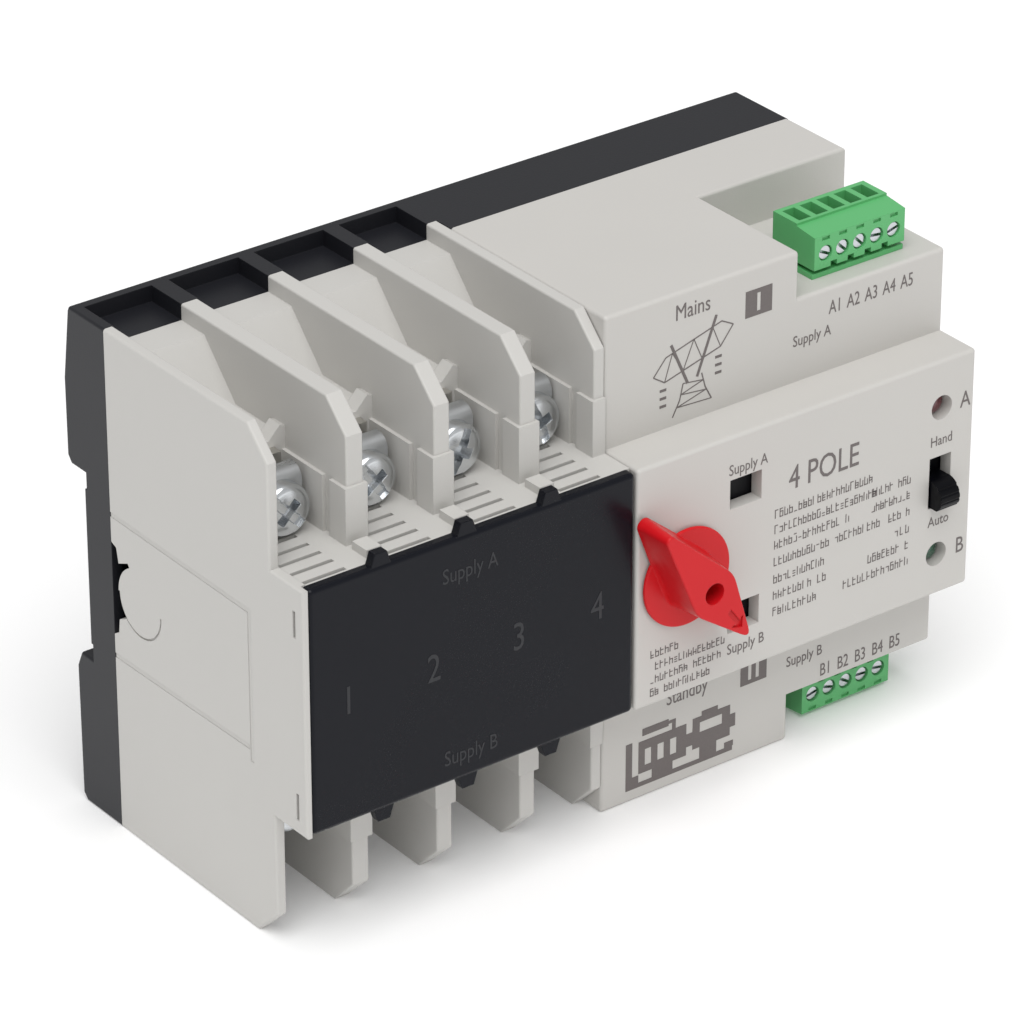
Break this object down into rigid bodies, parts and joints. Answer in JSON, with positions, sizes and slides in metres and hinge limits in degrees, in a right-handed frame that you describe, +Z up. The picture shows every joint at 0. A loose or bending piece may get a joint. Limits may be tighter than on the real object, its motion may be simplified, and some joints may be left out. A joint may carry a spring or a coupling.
{
  "type": "changeover switch",
  "caption": "Rail-mounted changeover switch with four screw-terminal bays, a stepped control housing, a hand knob, a mode slider and two pluggable signal blocks.",
  "frame": {"origin": "centre of the rail seat, on the rail's centre line and midway along the width", "axes": "+Z up, along the wall; +Y back into the wall, the outward normal of the rail seat; +X to the right seen from the front"},
  "size_m": [0.143, 0.0769, 0.096],
  "materials": {
    "base_black": "satin, moulded",
    "housing_grey": "fine moulded grain",
    "housing_warm": "fine moulded grain",
    "cover_black": "smooth, slightly glossy",
    "inner_black": "moulded",
    "latch_black": "moulded",
    "slider_black": "ribbed",
    "knob_red": "bright, moulded",
    "terminal_green": "bright, moulded",
    "tinned_copper": "tin plated",
    "zinc_screw": "bright zinc",
    "zinc_plate": "bright zinc",
    "signal_screw": "bright zinc",
    "silver_contact": "silver alloy",
    "copper_strip": "copper",
    "spring_steel": "drawn wire",
    "arc_steel": "sheet steel",
    "barrier_board": "fibre sheet",
    "gear_plastic": "acetal",
    "plunger_steel": "ground",
    "bush_brass": "turned",
    "clamp_brass": "nickel plated",
    "pin_tin": "tin plated",
    "circuit_board": "solder mask",
    "coil_copper": "enamelled wire",
    "relay_blue": "moulded",
    "can_aluminium": "sleeved",
    "lamp_clear": "clear",
    "lens_red": "dark red, clear",
    "lens_green": "dark green, clear"
  },
  "bodies": {
    "root": {"rear_base": "base_black", "switch_housing": "housing_grey", "control_housing": "housing_warm", "front_cover": "cover_black", "source_a_bars": "tinned_copper", "source_b_bars": "tinned_copper", "load_bars": "tinned_copper", "source_a_screws": "zinc_screw", "source_b_screws": "zinc_screw", "load_screws": "zinc_screw", "source_a_saddles": "zinc_plate", "source_b_saddles": "zinc_plate", "load_saddles": "zinc_plate", "fixed_contacts": "silver_contact", "arc_plates_a": "arc_steel", "arc_plates_b": "arc_steel", "pole_barriers": "barrier_board", "knob_bush": "bush_brass", "gear_frame": "zinc_plate", "signal_header_a": "terminal_green", "signal_pins_a": "pin_tin", "signal_board_a": "circuit_board", "signal_header_b": "terminal_green", "signal_pins_b": "pin_tin", "signal_board_b": "circuit_board", "control_board": "circuit_board", "transformer_core": "arc_steel", "transformer_coil": "coil_copper", "relays": "relay_blue", "capacitors": "can_aluminium", "solenoid_bobbins": "inner_black", "solenoid_coils": "coil_copper", "solenoid_yokes": "zinc_plate", "lamps": "lamp_clear", "lamp_lens_a": "lens_red", "lamp_lens_b": "lens_green", "mode_switch": "inner_black", "housing_screws": "zinc_screw"},
    "knob": {"knob": "knob_red", "knob_shaft": "plunger_steel", "drive_pinion": "gear_plastic"},
    "carrier": {"contact_carrier": "inner_black", "drive_rack": "gear_plastic", "position_flag": "inner_black", "solenoid_plunger": "plunger_steel", "contact_bridges": "copper_strip", "moving_contacts": "silver_contact", "contact_springs": "spring_steel"},
    "mode_slider": {"mode_slider": "slider_black"},
    "signal_plug_a": {"signal_plug_a": "terminal_green", "plug_screws_a": "signal_screw", "plug_clamps_a": "clamp_brass"},
    "signal_plug_b": {"signal_plug_b": "terminal_green", "plug_screws_b": "signal_screw", "plug_clamps_b": "clamp_brass"},
    "rail_latch_left": {"rail_latch_left": "latch_black", "latch_spring_left": "spring_steel"},
    "rail_latch_right": {"rail_latch_right": "latch_black", "latch_spring_right": "spring_steel"}
  },
  "joints": [
    {"name": "knob_turn", "type": "hinge", "parent": "root", "child": "knob", "pos_m": [0.00705, -0.0633, 0], "axis": [0, -1, 0], "range_deg": [0, 108]},
    {"name": "carrier_slide", "type": "slide", "parent": "root", "child": "carrier", "axis": [0, 0, 1], "range_m": [0, 0.00707]},
    {"name": "mode_slide", "type": "slide", "parent": "root", "child": "mode_slider", "axis": [0, 0, 1], "range_m": [0, 0.0041]},
    {"name": "plug_a_pull", "type": "slide", "parent": "root", "child": "signal_plug_a", "axis": [0, 0, 1], "range_m": [0, 0.012]},
    {"name": "plug_b_pull", "type": "slide", "parent": "root", "child": "signal_plug_b", "axis": [0, 0, -1], "range_m": [0, 0.012]},
    {"name": "latch_left_slide", "type": "slide", "parent": "root", "child": "rail_latch_left", "axis": [0, 0, -1], "range_m": [0, 0.0025], "stiffness_N_per_m": 500, "springref_m": -0.002, "deforming": ["latch_spring_left"]},
    {"name": "latch_right_slide", "type": "slide", "parent": "root", "child": "rail_latch_right", "axis": [0, 0, -1], "range_m": [0, 0.0025], "stiffness_N_per_m": 500, "springref_m": -0.002, "deforming": ["latch_spring_right"]}
  ],
  "couplings": [
    {"joint": "knob_turn", "follows": "carrier_slide", "rad_per_m": 266.67}
  ]
}
